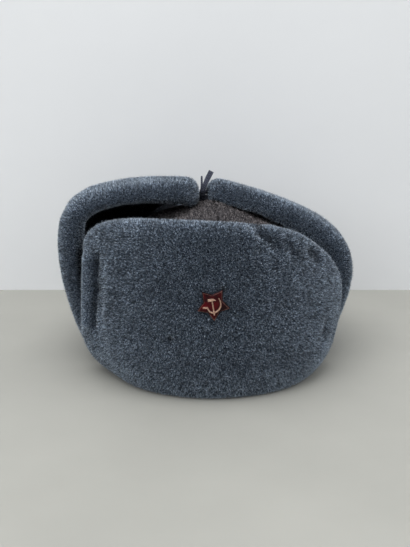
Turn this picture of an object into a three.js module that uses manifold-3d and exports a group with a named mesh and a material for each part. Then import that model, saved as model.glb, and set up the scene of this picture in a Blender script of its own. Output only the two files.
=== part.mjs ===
// A winter cap with ear flaps, in millimetres, +Z up, its front towards -Y, standing on z = 0.
// A hollow cloth crown carries three fur flaps that are turned up around it: a front flap, and an
// ear and neck flap in two halves whose ends are tied together over the top.

import * as THREE from 'three';
import { mergeVertices } from 'three/addons/utils/BufferGeometryUtils.js';
import Module from 'manifold-3d';

// The head opening and the crown
const HEAD_WIDTH = 158;
const HEAD_LENGTH = 198;
const CLOTH = 4;
const PANEL_PUFF = 0.018; // how far the middle of a panel stands out, as a share of the radius
const APEX_SIDE = 5; // the apex lies this far right of the middle
const SAG = { left: 3, right: 4 }; // how far the flaps press the roof's slopes down
const CROWN_TURNS = 48;

// The fur flaps
const FUR = 23; // a flap's thickness with its pile
const FOOT_ROUND = 28; // above this height a flap has its whole thickness
const GAP = 0.4; // between pieces
const ROOF_GAP = 1.2; // between a flap and the crown's roof
const WALL_TOP = 86; // the crown's wall turns into its roof here
const SIDE_FOOT = 6.5; // thickness of the ear flaps where they rest
const SEAM_ROUND = 4; // rounding of the two halves where they meet behind
const END_ROUND = 4; // rounding of an ear flap's end on the side that lies on the crown
const END_CREST = 8.5; // rounding of it on the outer side
const EDGE_LEAST = 0.1; // share of the thickness that is left at a rolled edge
const LOW_PLACE = 0.4; // share of the way up to the belly that the column low speaks of
const LEAN_PLACE = 0.55; // share of the way from the belly to the top where the lean begins
const LEAN_START = 0.35; // share of the lean that is reached there
const OVER_PLACE = 0.35; // share of the way from an ear flap's corner to its end
const SLIM_FROM = 0.5; // share of an ear flap's height where its inner side begins to draw back
const SLIM_SPAN = 0.55; // over this share of the height it draws back and returns

// About how long and how high the flaps' sheets are, and into how many parts they are cut
const FRONT_SHEET = { length: 240, height: 128, columns: 29, rows: 11 };
const EAR_SHEET = { length: 230, height: 200, columns: 20, rows: 14 };

// The badge
const STAR_REACH = 12.1; // from the centre to a tip
const STAR_WAIST = 0.57; // the inner corners, as a share of the reach
const STAR_PLATE = 1.0;
const STAR_BEVEL = 0.6;
const BADGE_TURN = -32; // degrees, from standing upright
const BADGE_SIDE = -3;
const BADGE_HEIGHT = 76;
const BADGE_SUNK = 0.9; // how deep its back sits in the pile
const SEAT_SPREAD = 1.8; // how much further the tips of its seat in the fur reach
const POST_RADIUS = 1;
const POST_LENGTH = 9;
const RELIEF = 0.6;
const RELIEF_GAP = 0.1;
const SEAT_HEIGHT = 4;
const HAMMER_HEAD = { x: -5, y: 0.8, turn: 36.7 }; // its square end, and the way it runs in degrees
const HAMMER_HANDLE = { from: { x: -2.4, y: 2.2 }, to: { x: 4.8, y: -6.0 }, width: 0.9 };
const SICKLE_HANDLE = { turn: -133, reach: 7.6, rootTurn: -120, rootReach: 4.3, width: 1.3 };

// The ties
const TAPE_WIDTH = 4;
const TAPE_THICK = 1.4;
const KNOT_PLACE = { x: -3, y: 10, z: 130 };
const KNOT_SIZE = { x: 2.4, y: 4.2, z: 5.2 };
const LONG_END = { x: 4.4, y: 11, z: 150, width: 3.4 };
const SHORT_END = { x: -4, y: 9, z: 146.5, width: 2.6 };
const END_BEND = 1.2; // how far the ends bow to the left
const UPPER_LOBE = { x: 0.5, y: -1.5, z: 2.7, share: 0.8 };
const LEFT_TIE = [
  { x: -11.8, y: 8.6, z: 133.6 },
  { x: -8.8, y: 8.9, z: 132.8 },
  { x: -6.3, y: 9.4, z: 131.4 },
];
const RIGHT_TIE = [
  { x: 5.2, y: 15.6, z: 134 },
  { x: 2.5, y: 13.6, z: 133.5 },
  { x: 0, y: 11.6, z: 132.4 },
];

// Colours
const FUR_COLOUR = 0x39434e;
const WOOL_COLOUR = 0x46423f;
const TAPE_COLOUR = 0x3c444c;
const ENAMEL_COLOUR = 0x6e1416;
const BRASS_COLOUR = 0xc8a878;

// The crown's outside from the rim up: its height, and the share of the rim's width and length left
const CROWN_ROWS = [
  { height: 0, spread: 1 },
  { height: 30, spread: 1.005 },
  { height: 56, spread: 0.99 },
  { height: 74, spread: 0.955 },
  { height: 88, spread: 0.895 },
  { height: 98, spread: 0.825 },
  { height: 106, spread: 0.74 },
  { height: 112, spread: 0.64 },
  { height: 116.5, spread: 0.5 },
  { height: 120.3, spread: 0.35 },
  { height: 124, spread: 0.19 },
  { height: 126.4, spread: 0.06 },
  { height: 127, spread: 0 },
];

// The front flap, by place on the rim: turn is in degrees from the front, positive to the right.
// stand is from the crown's wall to the middle of the fur at the belly, whose height is belly; low
// is the share of it that is reached at LOW_PLACE of the way up to the belly. lean is how far the
// top edge is back from the belly; foot and top are the lower and upper edge, and sole is how thick
// the flap is at its foot.
const FRONT_ROWS = [
  { turn: -67, stand: 21.5, belly: 44, low: 0.74, lean: 8, sole: 7, foot: 13, top: 100 },
  { turn: -61, stand: 22, belly: 46, low: 0.6, lean: 8, sole: 8, foot: 1, top: 117 },
  { turn: -50, stand: 20.5, belly: 50, low: 0.5, lean: 9, sole: 10, foot: 0, top: 126 },
  { turn: -34, stand: 18, belly: 56, low: 0.62, lean: 8, sole: 13.5, foot: 0, top: 131 },
  { turn: -12, stand: 14.5, belly: 60, low: 0.6, lean: 7, sole: 14, foot: 0, top: 132.5 },
  { turn: 12, stand: 14.5, belly: 60, low: 0.7, lean: 7, sole: 15, foot: 0, top: 130 },
  { turn: 34, stand: 17, belly: 58, low: 0.82, lean: 7, sole: 17, foot: 0, top: 122 },
  { turn: 50, stand: 20, belly: 56, low: 0.78, lean: 6, sole: 14, foot: 0, top: 106 },
  { turn: 61, stand: 21, belly: 60, low: 0.68, lean: 4, sole: 10, foot: 1, top: 87 },
  { turn: 67, stand: 21, belly: 60, low: 0.7, lean: 2, sole: 7, foot: 13, top: 73 },
];

// The folds and dents in the front flap's face: place, reach along the rim and up, and depth
const FRONT_FOLDS = [
  { turn: -49, height: 66, reach: 5.5, rise: 30, depth: 5 },
  { turn: 23, height: 116, reach: 8, rise: 9, depth: 2.5 },
  { turn: 46, height: 97, reach: 8, rise: 9, depth: 2 },
  { turn: 56, height: 36, reach: 7, rise: 12, depth: 2.5 },
  { turn: -3, height: 92, reach: 6, rise: 6, depth: 1 },
];

// An ear flap's sections from its front edge to the middle of the back. turn is the foot's place on
// the rim. flare is how far the wall stands off the crown at the height belly. The wall turns in at
// the height corner, inset by tuck, and ends over the crown at x, y, z, measured from the middle.
// arch is how soon it rises to its end: 1 is a square shoulder, 0.3 a slope. low is the share of the
// flare that is reached at LOW_PLACE of the way up to the belly.
const LEFT_ROWS = [
  { turn: 69.5, flare: 30, belly: 86, low: 0.56, tuck: 4, corner: 119, arch: 0.85, x: 18.5, y: -22, z: 134 },
  { turn: 78, flare: 29, belly: 86, low: 0.57, tuck: 5, corner: 121, arch: 0.85, x: 10, y: -12, z: 134.2 },
  { turn: 89, flare: 28, belly: 84, low: 0.57, tuck: 7.5, corner: 122.5, arch: 0.85, x: 6.7, y: 1, z: 134 },
  { turn: 101, flare: 27, belly: 82, low: 0.6, tuck: 8, corner: 120, arch: 0.85, x: 7, y: 16, z: 133.2 },
  { turn: 114, flare: 24, belly: 77, low: 0.6, tuck: 8, corner: 113, arch: 0.8, x: 17.5, y: 36, z: 130 },
  { turn: 128, flare: 21, belly: 70, low: 0.6, tuck: 6, corner: 103, arch: 0.75, x: 36, y: 57, z: 121 },
  { turn: 145, flare: 18, belly: 61, low: 0.6, tuck: 2, corner: 89, arch: 0.7, x: 42, y: 86, z: 111 },
  { turn: 162, flare: 16, belly: 54, low: 0.6, tuck: 1, corner: 80, arch: 0.65, x: 24, y: 104, z: 104 },
  { turn: 180, flare: 14, belly: 50, low: 0.6, tuck: 1, corner: 76, arch: 0.6, x: 0.2, y: 110, z: 102 },
];
const RIGHT_ROWS = [
  { turn: 69.5, flare: 26, belly: 70, low: 0.46, tuck: 4, corner: 91, arch: 0.61, x: 6.4, y: 0, z: 132.4 },
  { turn: 78, flare: 26, belly: 70, low: 0.5, tuck: 6, corner: 92, arch: 0.56, x: 0.9, y: 9, z: 133.4 },
  { turn: 89, flare: 26, belly: 70, low: 0.55, tuck: 8, corner: 94, arch: 0.52, x: -0.6, y: 19, z: 133.6 },
  { turn: 101, flare: 25, belly: 70, low: 0.6, tuck: 10, corner: 95, arch: 0.48, x: 1.4, y: 31, z: 132.4 },
  { turn: 114, flare: 24, belly: 69, low: 0.6, tuck: 10, corner: 94, arch: 0.5, x: 14, y: 44, z: 127 },
  { turn: 128, flare: 21, belly: 66, low: 0.6, tuck: 7, corner: 92, arch: 0.55, x: 32, y: 61, z: 119 },
  { turn: 145, flare: 18, belly: 60, low: 0.6, tuck: 2, corner: 86, arch: 0.6, x: 41, y: 87, z: 110 },
  { turn: 162, flare: 16, belly: 54, low: 0.6, tuck: 1, corner: 80, arch: 0.6, x: 24, y: 104, z: 104 },
  { turn: 180, flare: 14, belly: 50, low: 0.6, tuck: 1, corner: 76, arch: 0.6, x: 0.2, y: 110, z: 102 },
];

// Where an ear flap bends over the crown, the share of its inner half that it lacks
const LEFT_SLIM = [
  { turn: 69.5, slim: 0.7 },
  { turn: 78, slim: 0.6 },
  { turn: 89, slim: 0.5 },
  { turn: 101, slim: 0.3 },
  { turn: 114, slim: 0.1 },
  { turn: 128, slim: 0 },
  { turn: 180, slim: 0 },
];
const RIGHT_SLIM = [
  { turn: 69.5, slim: 0 },
  { turn: 180, slim: 0 },
];

// The hammer's head from its square end to its bent peen: low and high are its two edges
const HEAD_ROWS = [
  { along: 0, low: -0.95, high: 0.95 },
  { along: 3.1, low: -0.9, high: 0.95 },
  { along: 4.4, low: -0.4, high: 0.7 },
  { along: 5.6, low: -0.75, high: -0.4 },
];

// The sickle's blade about the star's centre: direction in degrees, reach and width
const SICKLE_ROWS = [
  { turn: 85, reach: 6.2, width: 0.3 },
  { turn: 62, reach: 5.6, width: 0.7 },
  { turn: 40, reach: 5.3, width: 0.9 },
  { turn: 14, reach: 5.2, width: 1.05 },
  { turn: -12, reach: 5.2, width: 1.15 },
  { turn: -36, reach: 5.5, width: 1.2 },
  { turn: -60, reach: 5.7, width: 1.15 },
  { turn: -84, reach: 5.4, width: 1.05 },
  { turn: -108, reach: 4.7, width: 0.95 },
  { turn: -122, reach: 4.4, width: 0.9 },
];

const wasm = await Module();
wasm.setup();

const radians = THREE.MathUtils.degToRad;
const lerp = THREE.MathUtils.lerp;
const rimAcross = HEAD_WIDTH / 2 + CLOTH;
const rimAlong = HEAD_LENGTH / 2 + CLOTH;
const crownTop = CROWN_ROWS[CROWN_ROWS.length - 1].height;

// The value of a column at a place between the rows, on a smooth curve through them
function read(rows, by, name, at) {
  let k = 1;
  while (k < rows.length - 2 && at > rows[k][by]) {
    k += 1;
  }
  if (at <= rows[0][by]) {
    return rows[0][name];
  }
  if (at > rows[k][by]) {
    k = rows.length - 1;
  }
  const slope = (i) => {
    const low = Math.max(i - 1, 0);
    const high = Math.min(i + 1, rows.length - 1);
    return (rows[high][name] - rows[low][name]) / (rows[high][by] - rows[low][by]);
  };
  const span = rows[k][by] - rows[k - 1][by];
  const t = Math.min((at - rows[k - 1][by]) / span, 1);
  const rise = rows[k][name] - rows[k - 1][name];
  const start = slope(k - 1) * span;
  const end = slope(k) * span;
  const bend = start * t * (1 - t) * (1 - t) - end * t * t * (1 - t);
  return rows[k - 1][name] + rise * t * t * (3 - 2 * t) + bend;
}

// A point on the crown's rim, and the level direction that faces away from the crown there
function rimPoint(turn) {
  const angle = radians(turn);
  return new THREE.Vector3(rimAcross * Math.sin(angle), -rimAlong * Math.cos(angle), 0);
}

function rimOutward(turn) {
  const angle = radians(turn);
  return new THREE.Vector3(Math.sin(angle) / rimAcross, -Math.cos(angle) / rimAlong, 0).normalize();
}

// The mesh of a grid of points and the faces listed by their places in it
function meshOf(points, faces) {
  const geometry = new THREE.BufferGeometry();
  const place = [];
  points.forEach((point) => place.push(point.x, point.y, point.z));
  geometry.setAttribute('position', new THREE.Float32BufferAttribute(place, 3));
  geometry.setIndex(faces.flat());
  return geometry;
}

function piece(name, geometry, colour, roughness, metalness) {
  geometry.computeVertexNormals();
  const material = new THREE.MeshStandardMaterial({ color: colour, roughness, metalness });
  const mesh = new THREE.Mesh(geometry, material);
  mesh.name = name;
  return mesh;
}

// How far a panel of the crown stands out at a height and direction, as a factor on the radius
function puffAt(height, angle) {
  return 1 + PANEL_PUFF * Math.abs(Math.sin(2 * angle)) * Math.sin((Math.PI * height) / crownTop);
}

// A point of the crown's skin on one of its rows, moved in by the cloth's thickness for the inside
function crownPoint({ height, spread }, turn, inset) {
  const angle = radians(turn);
  const puff = puffAt(height, angle);
  const across = (rimAcross - inset) * spread * puff;
  const along = (rimAlong - inset) * spread * puff;
  const sag = Math.sin(angle) > 0 ? SAG.right : SAG.left;
  const press = sag * Math.abs(Math.sin(angle)) * Math.sin(Math.PI * Math.min(spread, 1));
  return new THREE.Vector3(
    across * Math.sin(angle) + APEX_SIDE * (1 - spread),
    -along * Math.cos(angle),
    height - press - inset * (height / crownTop),
  );
}

function makeCrown() {
  const apex = CROWN_ROWS[CROWN_ROWS.length - 1];
  const rows = CROWN_ROWS.slice(0, -1);
  const rings = rows.map((row) => ({ row, inset: 0 }));
  rows.toReversed().forEach((row) => rings.push({ row, inset: CLOTH }));
  const points = [];
  rings.forEach(({ row, inset }) => {
    for (let k = 0; k < CROWN_TURNS; k += 1) {
      points.push(crownPoint(row, (k * 360) / CROWN_TURNS, inset));
    }
  });
  const faces = [];
  const quad = (low, high, k, next) => {
    const [a, b] = [low * CROWN_TURNS + k, low * CROWN_TURNS + next];
    const [c, d] = [high * CROWN_TURNS + next, high * CROWN_TURNS + k];
    faces.push([a, b, c], [a, c, d]);
  };
  const topOut = points.push(crownPoint(apex, 0, 0)) - 1;
  const topIn = points.push(crownPoint(apex, 0, CLOTH)) - 1;
  const highest = rows.length - 1;
  for (let k = 0; k < CROWN_TURNS; k += 1) {
    const next = (k + 1) % CROWN_TURNS;
    for (let ring = 0; ring < rings.length - 1; ring += 1) {
      if (ring !== highest) {
        quad(ring, ring + 1, k, next);
      }
    }
    quad(rings.length - 1, 0, k, next);
    faces.push([highest * CROWN_TURNS + k, highest * CROWN_TURNS + next, topOut]);
    faces.push([(highest + 1) * CROWN_TURNS + next, (highest + 1) * CROWN_TURNS + k, topIn]);
  }
  return piece('crown', meshOf(points, faces), WOOL_COLOUR, 1, 0);
}

// The share of the rim's size that the crown has at a height, and the roof's height at a place
function crownSpread(height) {
  return read(CROWN_ROWS, 'height', 'spread', height);
}

function roofHeight(x, y) {
  const share = Math.hypot((x - APEX_SIDE) / rimAcross, y / rimAlong);
  const falling = [...CROWN_ROWS].reverse();
  return read(falling, 'spread', 'height', share);
}

// Moves a point of a flap clear of the crown: out from its wall, or up from its roof
function clearOfCrown(point) {
  if (point.z < WALL_TOP) {
    const angle = Math.atan2(point.x / rimAcross, -point.y / rimAlong);
    const spread = crownSpread(point.z) * puffAt(point.z, angle);
    const gap = lerp(GAP, ROOF_GAP, point.z / WALL_TOP);
    const share = Math.hypot(point.x / (rimAcross * spread + gap), point.y / (rimAlong * spread + gap));
    if (share < 1) {
      point.x /= share;
      point.y /= share;
    }
  } else {
    const puffed = 1 + PANEL_PUFF;
    point.z = Math.max(point.z, roofHeight(point.x / puffed, point.y / puffed) + ROOF_GAP);
  }
  return point;
}

// Places along a side of a sheet, as shares of its length, crowded where the edge is rounded
function stations(length, count, startRound, endRound) {
  const rounding = [0, 0.12, 0.42];
  const inner = length - startRound - endRound;
  const places = [];
  if (startRound > 0) {
    rounding.forEach((share) => places.push(startRound * share));
  }
  for (let k = 0; k <= count; k += 1) {
    places.push(startRound + (inner * k) / count);
  }
  if (endRound > 0) {
    rounding.toReversed().forEach((share) => places.push(length - endRound * share));
  }
  return places.map((place) => place / length);
}

// A padded sheet around a middle surface, with its edges rounded as a roll. The side v = 0 is the foot.
function paddedSheet(sheet) {
  const { us, vs, middle, half, pressed, slim, settle, isLeft } = sheet;
  const { startRound, endRound, outerRound, innerRound } = sheet;
  const grid = us.map((u) => vs.map((v) => middle(u, v)));
  const columns = us.length;
  const rows = vs.length;
  const fromTop = grid.map((line) => {
    const lengths = new Array(rows).fill(0);
    for (let j = rows - 2; j >= 0; j -= 1) {
      lengths[j] = lengths[j + 1] + line[j].distanceTo(line[j + 1]);
    }
    return lengths;
  });
  const along = vs.map((v, j) => {
    const lengths = [0];
    for (let i = 1; i < columns; i += 1) {
      lengths.push(lengths[i - 1] + grid[i][j].distanceTo(grid[i - 1][j]));
    }
    return lengths;
  });
  const roll = (distance, radius) => {
    if (radius <= 0 || distance >= radius) {
      return 1;
    }
    return Math.max(Math.sqrt(1 - (1 - distance / radius) ** 2), EDGE_LEAST);
  };
  const across = (i, j) => {
    const east = grid[Math.min(i + 1, columns - 1)][j].clone();
    const north = grid[i][Math.min(j + 1, rows - 1)].clone();
    const alongU = east.sub(grid[Math.max(i - 1, 0)][j]);
    const alongV = north.sub(grid[i][Math.max(j - 1, 0)]);
    return alongU.cross(alongV).normalize().multiplyScalar(isLeft ? -1 : 1);
  };
  // The way the sheet faces, evened out over the neighbouring points
  const facing = (i, j) => {
    const sum = new THREE.Vector3();
    for (let a = Math.max(i - 1, 0); a <= Math.min(i + 1, columns - 1); a += 1) {
      for (let b = Math.max(j - 1, 0); b <= Math.min(j + 1, rows - 1); b += 1) {
        sum.add(across(a, b));
      }
    }
    return sum.normalize();
  };
  const outside = [];
  const inside = [];
  for (let i = 0; i < columns; i += 1) {
    for (let j = 0; j < rows; j += 1) {
      const outward = facing(i, j);
      if (j === 0) {
        outward.setZ(0).normalize();
      }
      const lengths = along[j];
      const start = roll(lengths[i], startRound);
      const end = roll(lengths[columns - 1] - lengths[i], endRound);
      const thick = half(us[i], grid[i][j].z) * start * end;
      const face = thick * roll(fromTop[i][j], outerRound) - pressed(us[i], grid[i][j].z);
      const depth = thick * roll(fromTop[i][j], innerRound) * (1 - slim(us[i], vs[j]));
      const out = grid[i][j].clone().addScaledVector(outward, Math.max(face, 0));
      const back = clearOfCrown(grid[i][j].clone().addScaledVector(outward, -depth));
      outside.push(settle(out));
      inside.push(settle(back));
    }
  }
  const points = outside.concat(inside);
  const faces = [];
  const at = (i, j, side) => side * columns * rows + i * rows + j;
  const quad = (a, b, c, d) => {
    if (isLeft) {
      faces.push([a, c, b], [a, d, c]);
    } else {
      faces.push([a, b, c], [a, c, d]);
    }
  };
  for (let i = 0; i < columns - 1; i += 1) {
    for (let j = 0; j < rows - 1; j += 1) {
      quad(at(i, j, 0), at(i + 1, j, 0), at(i + 1, j + 1, 0), at(i, j + 1, 0));
      quad(at(i, j, 1), at(i, j + 1, 1), at(i + 1, j + 1, 1), at(i + 1, j, 1));
    }
    quad(at(i, 0, 0), at(i, 0, 1), at(i + 1, 0, 1), at(i + 1, 0, 0));
    quad(at(i, rows - 1, 0), at(i + 1, rows - 1, 0), at(i + 1, rows - 1, 1), at(i, rows - 1, 1));
  }
  for (let j = 0; j < rows - 1; j += 1) {
    quad(at(0, j, 0), at(0, j + 1, 0), at(0, j + 1, 1), at(0, j, 1));
    const last = columns - 1;
    quad(at(last, j, 0), at(last, j, 1), at(last, j + 1, 1), at(last, j + 1, 0));
  }
  return meshOf(points, faces);
}

// A point on a smooth curve through a few points
function onCurve(points, share) {
  return new THREE.CatmullRomCurve3(points, false, 'centripetal').getPoint(share);
}

const footHalf = (foot, height) => {
  const share = Math.min(height / FOOT_ROUND, 1);
  return lerp(foot, FUR, Math.sin((share * Math.PI) / 2)) / 2;
};

// A flap is flat where it rests, and its two halves stay clear of each other behind
function onSurface(point) {
  point.z = Math.max(point.z, 0);
  return point;
}

function clearOfSeam(point, side) {
  if (point.y > rimAlong / 2) {
    point.x = side * Math.max(point.x * side, GAP / 2);
  }
  return point;
}

// How deep the folds press the front flap's face in at a place
function foldDepth(turn, height) {
  return FRONT_FOLDS.reduce((sum, fold) => {
    const along = (radians(turn - fold.turn) * rimAlong) / fold.reach;
    const up = (height - fold.height) / fold.rise;
    return sum + fold.depth * Math.exp(-along * along - up * up);
  }, 0);
}

function makeFrontFlap() {
  const first = FRONT_ROWS[0].turn;
  const last = FRONT_ROWS[FRONT_ROWS.length - 1].turn;
  const soleAt = (u) => read(FRONT_ROWS, 'turn', 'sole', lerp(first, last, u));
  const middle = (u, v) => {
    const turn = lerp(first, last, u);
    const row = (name) => read(FRONT_ROWS, 'turn', name, turn);
    const rim = rimPoint(turn);
    const out = rimOutward(turn);
    const place = (stand, height) => rim.clone().addScaledVector(out, stand).setZ(height);
    const foot = row('foot');
    const top = row('top');
    const base = GAP + row('sole') / 2;
    const curve = [
      place(base, foot),
      place(lerp(base, row('stand'), row('low')), lerp(foot, row('belly'), LOW_PLACE)),
      place(row('stand'), row('belly')),
      place(row('stand') - row('lean') * LEAN_START, lerp(row('belly'), top, LEAN_PLACE)),
      place(row('stand') - row('lean'), top),
    ];
    return onCurve(curve, v);
  };
  const geometry = paddedSheet({
    us: stations(FRONT_SHEET.length, FRONT_SHEET.columns, FUR / 2, FUR / 2),
    vs: stations(FRONT_SHEET.height, FRONT_SHEET.rows, 0, FUR / 2),
    middle,
    half: (u, height) => footHalf(soleAt(u), height),
    pressed: (u, height) => foldDepth(lerp(first, last, u), height),
    slim: () => 0,
    settle: onSurface,
    startRound: FUR / 2,
    endRound: FUR / 2,
    outerRound: FUR / 2,
    innerRound: FUR / 2,
    isLeft: false,
  });
  return piece('front_flap', geometry, FUR_COLOUR, 1, 0);
}

function makeEarFlap(name, rowsOf, slimRows, side) {
  const first = rowsOf[0].turn;
  const last = rowsOf[rowsOf.length - 1].turn;
  const middle = (u, v) => {
    const turn = lerp(first, last, u);
    const row = (column) => read(rowsOf, 'turn', column, turn);
    const rim = rimPoint(turn);
    const out = rimOutward(turn);
    const place = (stand, height) => rim.clone().addScaledVector(out, stand).setZ(height);
    const base = GAP + SIDE_FOOT / 2;
    const belly = place(row('flare'), row('belly'));
    const edge = new THREE.Vector3(row('x'), row('y'), row('z'));
    const inward = edge.clone().sub(belly).setZ(0);
    const corner = belly.clone().addScaledVector(inward.clone().normalize(), row('tuck'));
    corner.z = row('corner');
    const over = corner.clone().lerp(edge, OVER_PLACE);
    over.z = lerp(row('corner'), edge.z, row('arch'));
    const curve = [
      place(base, 0),
      place(lerp(base, row('flare'), row('low')), row('belly') * LOW_PLACE),
      belly,
      corner,
      over,
      edge,
    ];
    const point = onCurve(curve, v);
    point.x *= side;
    return point;
  };
  const geometry = paddedSheet({
    us: stations(EAR_SHEET.length, EAR_SHEET.columns, FUR / 2, SEAM_ROUND),
    vs: stations(EAR_SHEET.height, EAR_SHEET.rows, 0, FUR / 2),
    middle,
    half: (u, height) => footHalf(SIDE_FOOT, height),
    pressed: () => 0,
    slim: (u, v) => {
      const share = THREE.MathUtils.clamp((v - SLIM_FROM) / SLIM_SPAN, 0, 1);
      const slim = Math.max(read(slimRows, 'turn', 'slim', lerp(first, last, u)), 0);
      return slim * Math.sin(share * Math.PI);
    },
    settle: (point) => clearOfSeam(onSurface(point), side),
    startRound: FUR / 2,
    endRound: SEAM_ROUND,
    outerRound: END_CREST,
    innerRound: END_ROUND,
    isLeft: side < 0,
  });
  return piece(name, geometry, FUR_COLOUR, 1, 0);
}

// A closed mesh as a solid for joining and cutting, and back
function solidOf(geometry) {
  const bare = geometry.clone();
  bare.deleteAttribute('normal');
  bare.deleteAttribute('uv');
  const merged = mergeVertices(bare, 1e-4);
  const vertProperties = Float32Array.from(merged.getAttribute('position').array);
  const triVerts = Uint32Array.from(merged.index.array);
  return new wasm.Manifold(new wasm.Mesh({ numProp: 3, vertProperties, triVerts }));
}

function geometryOf(solid) {
  const mesh = solid.getMesh();
  const geometry = new THREE.BufferGeometry();
  geometry.setAttribute('position', new THREE.BufferAttribute(mesh.vertProperties, 3));
  geometry.setIndex(new THREE.BufferAttribute(mesh.triVerts, 1));
  return geometry;
}

function union(geometries) {
  const [first, ...rest] = geometries.map(solidOf);
  return geometryOf(rest.reduce((whole, part) => whole.add(part), first));
}

// A star's outline with one tip up
function starShape(reach) {
  const corners = [];
  for (let k = 0; k < 10; k += 1) {
    const radius = k % 2 === 0 ? reach : reach * STAR_WAIST;
    const angle = radians(90 + 36 * k);
    corners.push(new THREE.Vector2(radius * Math.cos(angle), radius * Math.sin(angle)));
  }
  return new THREE.Shape(corners);
}

// The star with its back on z = 0, and the post behind it
function makeStar() {
  const plate = new THREE.ExtrudeGeometry(starShape(STAR_REACH - STAR_BEVEL), {
    depth: STAR_PLATE - STAR_BEVEL,
    bevelThickness: STAR_BEVEL,
    bevelSize: STAR_BEVEL,
    bevelSegments: 1,
  });
  plate.translate(0, 0, STAR_BEVEL);
  const post = new THREE.CylinderGeometry(POST_RADIUS, POST_RADIUS, POST_LENGTH + STAR_PLATE, 12);
  post.rotateX(Math.PI / 2);
  post.translate(0, 0, (STAR_PLATE - POST_LENGTH) / 2);
  return union([plate, post]);
}

// What the badge takes out of the fur: the star's own seat in the pile, and the post's bore
function makeSeat() {
  const hollow = new THREE.ExtrudeGeometry(starShape(STAR_REACH + SEAT_SPREAD), {
    depth: SEAT_HEIGHT,
    bevelEnabled: false,
  });
  hollow.translate(0, 0, -GAP);
  const length = POST_LENGTH + GAP + SEAT_HEIGHT / 2;
  const bore = new THREE.CylinderGeometry(POST_RADIUS + GAP, POST_RADIUS + GAP, length, 12);
  bore.rotateX(Math.PI / 2);
  bore.translate(0, 0, (SEAT_HEIGHT - length) / 2);
  return union([hollow, bore]);
}

// The hammer and sickle, with the hammer's head up to the left and the sickle's tip up
function makeEmblem() {
  const bar = ({ from, to, width }) => {
    const length = Math.hypot(to.x - from.x, to.y - from.y);
    const box = new THREE.BoxGeometry(length, width, RELIEF);
    box.rotateZ(Math.atan2(to.y - from.y, to.x - from.x));
    box.translate((from.x + to.x) / 2, (from.y + to.y) / 2, RELIEF / 2);
    return box;
  };
  const polar = (turn, reach) => ({
    x: reach * Math.cos(radians(turn)),
    y: reach * Math.sin(radians(turn)),
  });
  const { turn, reach, rootTurn, rootReach, width } = SICKLE_HANDLE;
  const corners = [];
  SICKLE_ROWS.forEach((row) => corners.push(polar(row.turn, row.reach + row.width / 2)));
  SICKLE_ROWS.toReversed().forEach((row) => corners.push(polar(row.turn, row.reach - row.width / 2)));
  const blade = new THREE.Shape(corners.map(({ x, y }) => new THREE.Vector2(x, y)));
  const edges = HEAD_ROWS.map((row) => new THREE.Vector2(row.along, row.low));
  HEAD_ROWS.toReversed().forEach((row) => edges.push(new THREE.Vector2(row.along, row.high)));
  const head = new THREE.ExtrudeGeometry(new THREE.Shape(edges), { depth: RELIEF, bevelEnabled: false });
  head.rotateZ(radians(HAMMER_HEAD.turn));
  head.translate(HAMMER_HEAD.x, HAMMER_HEAD.y, 0);
  return union([
    new THREE.ExtrudeGeometry(blade, { depth: RELIEF, bevelEnabled: false }),
    bar({ from: polar(rootTurn, rootReach), to: polar(turn, reach), width }),
    head,
    bar(HAMMER_HANDLE),
  ]);
}

// What a tie takes out of a flap: the tape's own slot, a little longer at both ends
function makeSlot(points) {
  const [start, middle, end] = points.map(({ x, y, z }) => new THREE.Vector3(x, y, z));
  const further = (tip, from) => tip.clone().add(tip.clone().sub(from).setLength(GAP));
  const line = [further(start, middle), middle, further(end, middle)];
  return makeTape(line, TAPE_WIDTH + 2 * GAP, TAPE_THICK + 2 * GAP);
}

// A tape along a curve, flat across it
function makeTape(points, width, thick) {
  const section = new THREE.Shape();
  section.absellipse(0, 0, thick / 2, width / 2, 0, Math.PI * 2);
  const path = new THREE.CatmullRomCurve3(points.map(({ x, y, z }) => new THREE.Vector3(x, y, z)));
  return new THREE.ExtrudeGeometry(section, {
    extrudePath: path,
    steps: points.length * 3,
    curveSegments: 5,
    bevelEnabled: false,
  });
}

// The knot between the flap ends, and the two short ends that stand up out of it
function makeKnot() {
  const { x, y, z } = KNOT_PLACE;
  const lobe = (dx, dy, dz, share) => {
    const ball = new THREE.SphereGeometry(1, 10, 7);
    ball.scale(KNOT_SIZE.x * share, KNOT_SIZE.y * share, KNOT_SIZE.z * share);
    ball.translate(x + dx, y + dy, z + dz);
    return ball;
  };
  const end = (tip, width) => {
    const root = new THREE.Vector3(x, y, z);
    const bend = root.clone().lerp(tip, 0.55);
    bend.x -= END_BEND;
    return makeTape([root, bend, tip], width, TAPE_THICK);
  };
  return union([
    lobe(0, 0, 0, 1),
    lobe(UPPER_LOBE.x, UPPER_LOBE.y, UPPER_LOBE.z, UPPER_LOBE.share),
    end(new THREE.Vector3(LONG_END.x, LONG_END.y, LONG_END.z), LONG_END.width),
    end(new THREE.Vector3(SHORT_END.x, SHORT_END.y, SHORT_END.z), SHORT_END.width),
  ]);
}

const hat = new THREE.Group();
const frontFlap = makeFrontFlap();

// The badge stands on the front flap where a straight line from the front meets the fur
const badge = new THREE.Group();
const sight = new THREE.Raycaster(
  new THREE.Vector3(BADGE_SIDE, -2 * HEAD_LENGTH, BADGE_HEIGHT),
  new THREE.Vector3(0, 1, 0),
);
const [meeting] = sight.intersectObject(frontFlap);
badge.position.copy(meeting.point);
badge.position.y += BADGE_SUNK;
badge.rotation.x = Math.PI / 2;
badge.rotateZ(radians(BADGE_TURN));
badge.add(piece('badge_star', makeStar(), ENAMEL_COLOUR, 0.25, 0.6));
const emblem = piece('badge_emblem', makeEmblem(), BRASS_COLOUR, 0.35, 1);
emblem.position.z = STAR_PLATE + STAR_BEVEL + RELIEF_GAP;
badge.add(emblem);
badge.updateMatrixWorld(true);

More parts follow.
